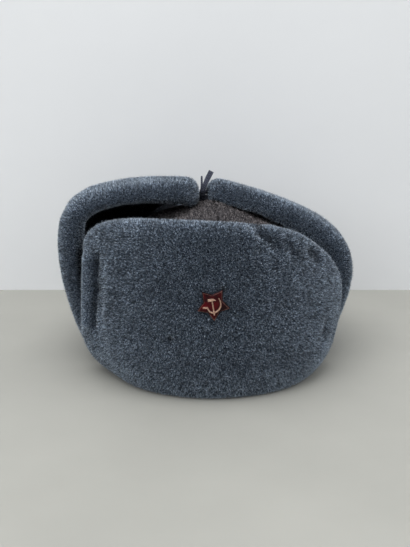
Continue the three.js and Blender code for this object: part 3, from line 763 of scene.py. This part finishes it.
def fur_skin(node, name):
    """The base of the pile: the flap's solid, smoothed and drawn in by part of the pile's length."""
    piece = copy_of(node, name)
    remesh = piece.modifiers.new("even", "REMESH")
    remesh.mode = "VOXEL"
    remesh.voxel_size = VOXEL * MM
    smooth = piece.modifiers.new("smooth", "SMOOTH")
    smooth.factor = 0.5
    smooth.iterations = SMOOTH_ROUNDS
    baked_down(piece)
    mesh = piece.data
    places, normals = surface(mesh)
    inset = np.full(len(places), SKIN_INSET * MM)
    if node == "front_flap":
        outward = (normals * places * (1, 1, 0)).sum(axis=1) > 0
        inset += np.where(outward, in_folds(places, "depth") * MM, 0)
    places -= normals * inset[:, None]
    places, laid = laid_on_crown(places, node)
    places[:, 2] = np.maximum(places[:, 2], SKIN_FLOOR * MM)
    put_coordinates(mesh, places)
    smooth_shading(piece)
    others = [CROWN_TREE] if node == "front_flap" else [CROWN_TREE, FRONT_TREE]
    # cloth side and painted shade: closed-in places, and skin laid on the crown
    inner = np.maximum(inner_share(mesh, others), np.clip(LAID_COUNTS * laid, 0, LAID_COUNTS_MOST))
    if node in UNDERSIDES:
        inner = on_cloth_side(mesh, node, inner)
    put_values(mesh, "inner", inner)
    in_material(piece, "depth")
    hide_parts(node)
    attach(piece, "root")
    return piece


def face_sizes(corners, places):
    """The middle of each face, and its area times two along its normal."""
    first, second, third = (places[corners[:, k]] for k in range(3))
    return (first + second + third) / 3, np.cross(second - first, third - first)


def bare_share(mesh, corners, places):
    """How much pile each face gets: little on the inner side, none on the floor."""
    middle, across = face_sizes(corners, places)
    size = np.linalg.norm(across, axis=1)
    inner = values_of(mesh, "inner")[corners].mean(axis=1)
    share = 1.0 - BARE_LOSS * np.clip((inner - BARE_FROM) / BARE_OVER, 0, 1)
    looks_down = across[:, 2] < -0.5 * size
    share[(middle[:, 2] < FLOOR_WITHIN * MM) & looks_down] = 0.0
    return share * size


def outer_share(mesh, corners, places):
    """How much nap each face of the crown gets: none inside, little in the seams and low down."""
    middle, across = face_sizes(corners, places)
    size = np.linalg.norm(across, axis=1)
    outward = (across * (middle - np.array(CROWN_HEART) * MM)).sum(axis=1) > 0
    in_seam = values_of(mesh, "seam")[corners].max(axis=1) > NAP_SEAM_FROM
    by_height = np.where(middle[:, 2] > NAP_FULL_ABOVE * MM, 1.0, NAP_BELOW)
    return outward * by_height * np.where(in_seam, NAP_IN_SEAM, 1.0) * size


def drift(points, scale, seed):
    """A smooth field of level and upright leanings, the same each run."""
    rng = np.random.default_rng(seed)
    field = np.zeros_like(points)
    for octave in range(3):
        waves = rng.normal(size=(6, 3)) * (2.0**octave) / scale
        starts = rng.uniform(0, 2 * math.pi, (6, 3))
        for wave, start in zip(waves, starts):
            field += np.sin(points @ wave[:, None] + start) / (2.0**octave)
    return field / 4


def scattered(mesh, count, weigh, rng):
    """Roots strewn over a mesh by its faces' weight, how the mesh faces there, and their share of cloth
    side and painted shade.
    """
    (places, normals), corners = surface(mesh), triangles(mesh)
    weight = weigh(mesh, corners, places)
    picked = rng.choice(len(corners), size=count, p=weight / weight.sum())
    first, second = rng.random(count), rng.random(count)
    over = first + second > 1
    first[over], second[over] = 1 - first[over], 1 - second[over]
    part = np.stack([1 - first - second, first, second], -1)[:, :, None]
    roots = (places[corners[picked]] * part).sum(axis=1)
    ups = (normals[corners[picked]] * part).sum(axis=1)
    inner = np.zeros(count)
    if "inner" in mesh.attributes:
        inner = (values_of(mesh, "inner")[corners[picked]] * part[:, :, 0]).sum(axis=1)
    return roots, unit(ups), inner


def tuft_of_each(roots, tufts):
    """The first roots are the hearts of the tufts, and each blade belongs to the nearest."""
    tree = KDTree(tufts)
    for k in range(tufts):
        tree.insert(Vector(roots[k]), k)
    tree.balance()
    return np.array([tree.find(Vector(p))[1] for p in roots])


def blade_mesh(name, roots, ups, tips, halves, tones):
    """One thin triangle a blade, lit mostly as the surface under it."""
    count = len(roots)
    points = np.stack([roots - halves, roots + halves, tips], axis=1).reshape(-1, 3)
    points[:, 2] = np.maximum(points[:, 2], BLADE_FLOOR * MM)
    blades = bpy.data.meshes.new(name)
    blades.vertices.add(count * 3)
    blades.loops.add(count * 3)
    blades.polygons.add(count)
    blades.vertices.foreach_set("co", points.astype(np.float32).ravel())
    blades.loops.foreach_set("vertex_index", np.arange(count * 3, dtype=np.int32))
    blades.polygons.foreach_set("loop_start", np.arange(0, count * 3, 3, dtype=np.int32))
    blades.update(calc_edges=True)
    put_values(blades, "reach", np.tile([0.0, 0.0, 1.0], count))
    put_values(blades, "tuft", np.repeat(tones, 3))
    cells = math.ceil(math.sqrt(count))
    cell = np.arange(count)
    corner = np.stack([cell % cells, cell // cells], -1)[:, None, :]
    spots = (corner + np.array([[0.1, 0.1], [0.9, 0.1], [0.5, 0.9]])[None]) / cells
    layer = blades.uv_layers.new(name="OFBake")
    layer.data.foreach_set("uv", spots.astype(np.float32).ravel())
    own = unit(np.cross(halves, tips - roots))
    lit = unit(np.repeat(ups * LIT_AS_SKIN + own * (1 - LIT_AS_SKIN), 3, axis=0))
    blades.normals_split_custom_set_from_vertices([tuple(n) for n in lit])
    return blades


def clear_of_badge(roots, tips):
    """True for the blades that don't run through the badge or over its face."""
    clear = np.ones(len(roots), bool)
    reach = (STAR_REACH + BADGE_ROUND) * MM
    centre = np.array(BADGE_CENTRE) * MM
    close = np.linalg.norm(roots[:, [0, 2]] - centre, axis=1) < reach
    for k in np.flatnonzero(close & (roots[:, 1] < FACE_BEFORE * MM)):
        way = Vector(tips[k]) - Vector(roots[k])
        hit = BADGE_TREE.ray_cast(Vector(roots[k]), way.normalized(), way.length)
        beyond = BADGE_TREE.ray_cast(Vector(roots[k]), Vector((0, -1, 0)), BADGE_AHEAD * MM)
        clear[k] = hit[0] is None and beyond[0] is None
    return clear


def coat_on(skin, name, coat, weigh, seed):
    """Blades of fur or wool on a skin, drawn together into small tufts."""
    rng = np.random.default_rng(seed)
    on_front = skin.name.startswith("front_flap")
    count = coat["blades"]
    roots, ups, inner = scattered(skin.data, count, weigh, rng)
    tufts = count // coat["per_tuft"]
    owner = tuft_of_each(roots, tufts)
    flow = np.zeros_like(roots)
    for k, row in enumerate(FLOWS):
        flow += drift(roots, row["waves"] * MM, seed + 1 + k) * row["lean"]
    flow -= ups * (flow * ups).sum(axis=1, keepdims=True)
    tuft_lean = rng.normal(0, coat["lean"], (tufts, 3))
    aims = unit(ups + flow + tuft_lean[owner] + rng.normal(0, coat["stray"], (count, 3)))
    lengths = coat["length"] * MM * rng.uniform(*LENGTHS, count)
    loose = rng.random(count) < LOOSE_HAIRS
    lengths[loose] *= LOOSE_LENGTH
    tips = roots + aims * lengths[:, None]
    hearts = roots[:tufts][owner] + ups[:tufts][owner] * (coat["length"] * MM * HEART_HEIGHT)
    drawn = np.where(loose, 0.0, rng.uniform(*coat["drawn"], count))
    tips += (hearts - tips) * drawn[:, None]
    bases = roots - ups * coat["sunk"] * MM
    halves = unit(np.cross(tips - bases, rng.normal(size=(count, 3))))
    widths = np.where(loose, LOOSE_WIDTH, rng.uniform(*WIDTHS, count))
    halves *= (coat["half"] * MM * widths)[:, None]
    away = (np.cross(halves, tips - bases) * ups).sum(axis=1) < 0
    halves[away] = -halves[away]
    # painted light: the pile is paler low down, as light from the floor
    floor_bounce = PAINTED_FLOOR_BOUNCE * np.clip(1 - roots[:, 2] / (PAINTED_FLOOR_BOUNCE_BELOW * MM), 0, 1)
    tones = rng.uniform(*TUFT_TONES, tufts)[owner] + rng.normal(0, BLADE_TONES, count)
    if on_front:
        # painted shade in the folds and dents, painted highlight on the raised lip
        tones -= in_folds(roots, "dark")
    elif coat is not WOOL_NAP:
        tones = 0.5 + (tones - 0.5) * EAR_MIX
    tones = np.clip(tones + floor_bounce, 0, 1)
    # painted shade: blades on the cloth side and in closed-in places are darkened
    tones *= 1.0 - INNER_PAINTED_SHADE * np.clip((inner - INNER_PAINTED_SHADE_FROM) / INNER_PAINTED_SHADE_OVER, 0, 1)
    parts = [bases, ups, tips, halves, tones]
    if on_front:
        kept = clear_of_badge(bases, tips)
        parts = [part[kept] for part in parts]
    piece = link(bpy.data.objects.new(name, blade_mesh(name, *parts)))
    in_material(piece, coat["material"])
    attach(piece, "root")


# The crown


def make_crown():
    """The crown of four panels, with a sunk seam where they meet."""
    piece = copy_of("crown", "crown_wool_shell")
    form = bmesh.new()
    form.from_mesh(piece.data)
    bmesh.ops.join_triangles(
        form, faces=form.faces, angle_face_threshold=1.2, angle_shape_threshold=1.6, cmp_seam=False
    )
    form.to_mesh(piece.data)
    form.free()
    finer = piece.modifiers.new("finer", "SUBSURF")
    finer.levels = 2
    finer.render_levels = 2
    baked_down(piece)
    mesh = piece.data
    places, normals = surface(mesh)
    outward = (normals * (places - np.array(CROWN_HEART) * MM)).sum(axis=1)
    height = np.clip((places[:, 2] / MM - CROWN_ROOF_FROM) / CROWN_ROOF_RISE, 0, 1)
    away_x = places[:, 0] / MM - CROWN_MIDDLE - (APEX[0] - CROWN_MIDDLE) * height
    away_y = places[:, 1] / MM - APEX[1] * height
    slant = SEAM_SLANT * height
    near = np.minimum(np.abs(away_x + slant * away_y), np.abs(away_y - slant * away_x))
    seam = np.exp(-((near / SEAM_HALF_WIDTH) ** 2))
    seam[outward < 0] = 0
    put_coordinates(mesh, places - normals * (SEAM_DEPTH * MM * seam)[:, None])
    put_values(mesh, "seam", seam)
    smooth_shading(piece)
    in_material(piece, "wool")
    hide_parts("crown")
    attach(piece, "root")
    return piece


# The badge


def star_corner(number, reach, inset=0.0):
    """A corner of the star in the plane of its face, in millimetres: even ones are the tips."""
    turn = math.radians(90 + BADGE_TURN + 36 * number)
    radius = reach if number % 2 == 0 else reach * STAR_WAIST
    radius -= inset * (TIP_INSET if number % 2 == 0 else WAIST_INSET)
    return BADGE_CENTRE[0] + radius * math.cos(turn), BADGE_CENTRE[1] + radius * math.sin(turn)


def on_face(face_y, corner, stand):
    """A point that stands off the star's face, in metres."""
    return corner[0] * MM, face_y - stand * MM, corner[1] * MM


def make_rim(face_y):
    """The gilt edge round the enamel, rounded over."""
    profile = ((0.0, 0.0), (0.12, 0.8), (0.5, 1.0), (0.88, 0.8), (1.0, 0.0))
    points = [
        on_face(face_y, star_corner(k, STAR_REACH, share * RIM_WIDTH), RIM_GAP + rise * RIM_HEIGHT)
        for k in range(10)
        for share, rise in profile
    ]
    rows = len(profile)
    faces = []
    for k in range(10):
        following = (k + 1) % 10
        for j in range(rows):
            beside = (j + 1) % rows
            here, there = k * rows, following * rows
            faces.append((here + j, there + j, there + beside, here + beside))
    piece = in_material(mesh_object("badge_rim", points, faces), "rim")
    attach(piece, "root")


def make_enamel(face_y):
    """The enamel poured inside the rim, a little domed, with a soft ridge along each arm."""
    steps = 6
    points = [on_face(face_y, BADGE_CENTRE, ENAMEL_RISE)]
    for step in range(1, steps + 1):
        share = step / steps
        for k in range(20):
            first = star_corner(k // 2, STAR_REACH, RIM_WIDTH * ENAMEL_EDGE)
            second = star_corner((k // 2 + 1) % 10, STAR_REACH, RIM_WIDTH * ENAMEL_EDGE)
            edge = [(a + b) / 2 for a, b in zip(first, second)] if k % 2 else first
            corner = [c + (e - c) * share for c, e in zip(BADGE_CENTRE, edge)]
            ridge = ENAMEL_RIDGE if k % 4 == 0 else 0.0
            rise = ENAMEL_RISE * (1 - share**3) + ridge * ENAMEL_RISE * math.sin(math.pi * share)
            points.append(on_face(face_y, corner, ENAMEL_GAP + rise))
    faces = []
    for k in range(20):
        following = (k + 1) % 20
        faces.append((0, 1 + following, 1 + k))
        for step in range(steps - 1):
            low, high = 1 + step * 20, 1 + (step + 1) * 20
            faces.append((low + k, low + following, high + following, high + k))
    piece = smooth_shading(mesh_object("badge_enamel", points, faces))
    # painted reflection, darker towards the right and down
    flat = vectors_of(piece.data, "co")[:, [0, 2]] / MM - np.array(BADGE_CENTRE)
    put_values(piece.data, "painted_reflection", np.clip(REFLECTION_MIDDLE + flat @ np.array(REFLECTION_RUN), 0, REFLECTION_MOST))
    in_material(piece, "enamel")
    faced_outward(piece, forward=True)
    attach(piece, "root")


def make_emblem():
    """The hammer and sickle with softened edges, as struck metal has."""
    piece = copy_of("badge_emblem", "emblem_relief")
    soft = piece.modifiers.new("soft", "BEVEL")
    soft.width = EMBLEM_ROUND * MM
    soft.segments = 2
    soft.limit_method = "ANGLE"
    baked_down(piece)
    smooth_shading(piece)
    in_material(piece, "gilt")
    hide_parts("badge_emblem")
    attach(piece, "root")


# The tapes and the knot


def on_path(knots, share):
    """A place on a smooth path through a few points."""
    last = len(knots) - 1
    at = min(int(share * last), last - 1)
    t = share * last - at
    before, start = knots[max(at - 1, 0)], knots[at]
    end, after = knots[at + 1], knots[min(at + 2, last)]
    return 0.5 * (
        2 * start
        + (end - before) * t
        + (2 * before - 5 * start + 4 * end - after) * t**2
        + (3 * start - before - 3 * end + after) * t**3
    )


def swept_tape(line, widths, flats, closed=False):
    """A tape's points, faces and weave coordinates along a line; flats is the way its width runs."""
    sides = TAPE_SIDES
    points, along_marks, across_marks = [], [], []
    run = 0.0
    for k, centre in enumerate(line):
        ahead = line[(k + 1) % len(line)] if closed or k + 1 < len(line) else centre
        behind = line[k - 1] if closed or k > 0 else centre
        way = (ahead - behind) / np.linalg.norm(ahead - behind)
        flat = flats[k] - way * (flats[k] @ way)
        flat /= np.linalg.norm(flat)
        thick = np.cross(way, flat)
        if k > 0:
            run += np.linalg.norm(centre - line[k - 1])
        for side in range(sides):
            turn = 2 * math.pi * side / sides
            wide, deep = math.cos(turn), math.sin(turn)
            wide = math.copysign(abs(wide) ** TAPE_ROUND["wide"], wide) * widths[k] / 2
            deep = math.copysign(abs(deep) ** TAPE_ROUND["deep"], deep) * TAPE_THICK / 2
            points.append(centre + flat * wide + thick * deep)
            along_marks.append(run)
            across_marks.append(wide)
    faces = []
    rings = len(line) if closed else len(line) - 1
    for k in range(rings):
        low, high = k * sides, ((k + 1) % len(line)) * sides
        for side in range(sides):
            beside = (side + 1) % sides
            faces.append((low + side, low + beside, high + beside, high + side))
    if not closed:
        faces.append(tuple(range(sides))[::-1])
        faces.append(tuple((len(line) - 1) * sides + side for side in range(sides)))
    return points, faces, along_marks, across_marks


def tape_piece(name, parts, *nodes):
    """One piece from several swept tapes, with their weave coordinates."""
    points, faces, along, across = [], [], [], []
    for part in parts:
        start = len(points)
        points += part[0]
        faces += [tuple(start + corner for corner in face) for face in part[1]]
        along += part[2]
        across += part[3]
    piece = faced_outward(mesh_object(name, [p * MM for p in points], faces))
    # painted shade of the knot, growing towards the bottom
    knot_shade = [min(max((KNOT_UNSHADED_ABOVE - p[2]) / KNOT_SHADE_OVER, 0), 1) for p in points]
    for label, values in (("along", along), ("across", across), ("knot_shade", knot_shade)):
        put_values(piece.data, label, values)
    smooth_shading(piece)
    in_material(piece, "tape")
    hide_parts(*nodes)
    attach(piece, "root")


def strip(rows, flat, steps=24):
    """A tape along a table of points, its width turned a little along the way."""
    knots = np.array([row["at"] for row in rows])
    shares = [k / (steps - 1) for k in range(steps)]
    line = [on_path(knots, share) for share in shares]
    stations, own = range(len(rows)), [row["width"] for row in rows]
    widths = [float(np.interp(share * (len(rows) - 1), stations, own)) for share in shares]
    start, end = (np.array(way, float) for way in flat)
    flats = [start + (end - start) * share for share in shares]
    return swept_tape(line, widths, flats)


def wrap(row, steps=28):
    """One turn of tape round the knot's core, tilted."""
    roll, nod = math.radians(row["roll"]), math.radians(row["nod"])
    turn = np.array(Matrix.Rotation(nod, 3, "X") @ Matrix.Rotation(roll, 3, "Y"))
    centre = np.array(row["at"])
    across, deep = row["reach"]
    line, flats = [], []
    for k in range(steps):
        angle = 2 * math.pi * k / steps
        cosine, sine = math.cos(angle), math.sin(angle)
        wave = WRAP_WAVE * math.sin(2 * angle)
        line.append(centre + turn @ np.array([across * cosine, deep * sine, wave]))
        flats.append(turn @ np.array([WRAP_WAVE * cosine, WRAP_WAVE * sine, 1.0]))
    return swept_tape(line, [row["width"]] * steps, flats, closed=True)


def make_tapes():
    tape_piece("left_tape", [strip(LEFT_TAPE, ((0, 1, 0.2), (0.2, 0.7, 0.7)))], "left_tie")
    tape_piece("right_tape", [strip(RIGHT_TAPE, ((0.4, -0.6, 0.2), (0.2, 0.5, 0.8)))], "right_tie")
    ends = [
        strip(LONG_END, ((1, 0.5, 0), (1, 0.15, -0.45))),
        strip(SHORT_END, ((0.8, 0.8, 0), (0.5, 1, 0))),
        strip(KNOT_CORE, ((1, 0.3, 0), (0.3, 1, 0))),
        strip(LOW_TURN, ((0, 0.3, 1), (0, 0.5, 1))),
    ]
    tape_piece("knot_tape", ends + [wrap(row) for row in KNOT_WRAPS], "tie_knot")


# The room, the light and the camera


def room_material(name, colour, spread):
    material, tree, shader = new_material(name)
    low = tuple(c * (1 - spread) for c in colour[:3]) + (1.0,)
    cloud = placed(tree, GRAIN, Scale=7.0, Roughness=0.55, Dark=low, Pale=colour)
    tree.links.new(cloud["Colour"], shader.inputs["Base Color"])
    set_finish(shader, roughness=0.6, shine=0.3)
    return material


def open_from_behind(material):
    """Shows a face from its front only, so a view from behind the wall sees the hat."""
    tree = material.node_tree
    side = tree.nodes.new("ShaderNodeNewGeometry")
    clear = tree.nodes.new("ShaderNodeBsdfTransparent")
    mix = tree.nodes.new("ShaderNodeMixShader")
    tree.links.new(side.outputs["Backfacing"], mix.inputs[0])
    tree.links.new(tree.nodes["Principled BSDF"].outputs[0], mix.inputs[1])
    tree.links.new(clear.outputs[0], mix.inputs[2])
    tree.links.new(mix.outputs[0], tree.nodes["Material Output"].inputs["Surface"])
    return material


def flat_sheet(name, corners, material):
    """A flat sheet of the room, turned as the camera is."""
    turn = Matrix.Rotation(math.radians(-CAMERA_TURN), 4, "Z")
    sheet = mesh_object(name, [turn @ Vector(p) for p in corners], [(0, 1, 2, 3)])
    sheet.data.materials.append(material)
    return sheet


def make_room():
    half, back = ROOM_HALF * MM, WALL_BEHIND * MM
    ground = ((-half, -half, 0), (half, -half, 0), (half, back, 0), (-half, back, 0))
    upright = ((-half, back, 0), (half, back, 0), (half, back, half), (-half, back, half))
    plaster = open_from_behind(room_material("pale_wall", linear(230, 231, 232), 0.02))
    floor = flat_sheet("floor", ground, room_material("pale_floor", linear(169, 168, 161), 0.07))
    wall = flat_sheet("wall", upright, plaster)


def area_light(name, place, aim, size, power):
    light = bpy.data.lights.new(name, "AREA")
    light.shape = "SQUARE"
    light.size = size
    light.energy = power
    light.color = LIGHT_COLOURS.get(name, (1, 1, 1))
    lamp = link(bpy.data.objects.new(name, light))
    lamp.location = place
    lamp.rotation_mode = "QUATERNION"
    lamp.rotation_quaternion = (Vector(aim) - Vector(place)).to_track_quat("-Z", "Y")


def make_light():
    world = bpy.data.worlds.new("soft_room")
    world.use_nodes = True
    background = world.node_tree.nodes["Background"]
    background.inputs[0].default_value = WORLD_COLOUR
    background.inputs[1].default_value = WORLD_STRENGTH
    bpy.context.scene.world = world
    for name, row in LIGHTS.items():
        area_light(name, **row)


def make_camera():
    data = bpy.data.cameras.new("camera")
    data.lens = CAMERA_LENS
    data.sensor_width = CAMERA_SENSOR
    data.sensor_fit = "AUTO"
    data.clip_start = 0.01
    data.clip_end = 20
    camera = link(bpy.data.objects.new("camera", data))
    camera.location = [c * MM for c in CAMERA_PLACE]
    down, turn = math.radians(CAMERA_DOWN), math.radians(CAMERA_TURN)
    gaze = Vector((math.sin(turn) * math.cos(down), math.cos(turn) * math.cos(down), -math.sin(down)))
    camera.rotation_mode = "QUATERNION"
    camera.rotation_quaternion = gaze.to_track_quat("-Z", "Y")
    bpy.context.scene.camera = camera


GRAIN = grain_group()
FIBRE = fibre_group()
make_camera()
make_room()
make_light()
bpy.context.scene.view_settings.view_transform = "Standard"

MATERIALS = {
    "pile": pile_material(),
    "depth": skin_material(),
    "wool": wool_material(),
    "nap": nap_material(),
    "tape": tape_material(),
    "enamel": enamel_material(),
    "gilt": gilt_material("worn_gilt", 900.0, linear(136, 100, 86), linear(226, 190, 168)),
    "rim": gilt_material("tarnished_rim", 240.0, linear(26, 6, 8), linear(160, 120, 110)),
    "edge": gilt_material("worn_edge", 300.0, linear(12, 3, 5), linear(56, 24, 26)),
}
CROWN_TREE = tree_of(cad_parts["crown"].data)
FRONT_TREE = tree_of(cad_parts["front_flap"].data)
BADGE_TREE = tree_of(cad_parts["badge_star"].data)

crown = make_crown()
coat_on(crown, "crown_wool_nap", WOOL_NAP, outer_share, seed=51)
for number, node in enumerate(("front_flap", "left_ear_flap", "right_ear_flap")):
    skin = fur_skin(node, f"{node}_skin")
    coat_on(skin, f"{node}_pile", LONG_COAT, bare_share, seed=10 * number + 1)
    if node == "front_flap":
        coat_on(skin, f"{node}_underpile", SHORT_COAT, bare_share, seed=10 * number + 5)
make_tapes()
in_material(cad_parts["badge_star"], "edge")
star_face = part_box("badge_star")[0][1]
make_rim(star_face)
make_enamel(star_face)
make_emblem()
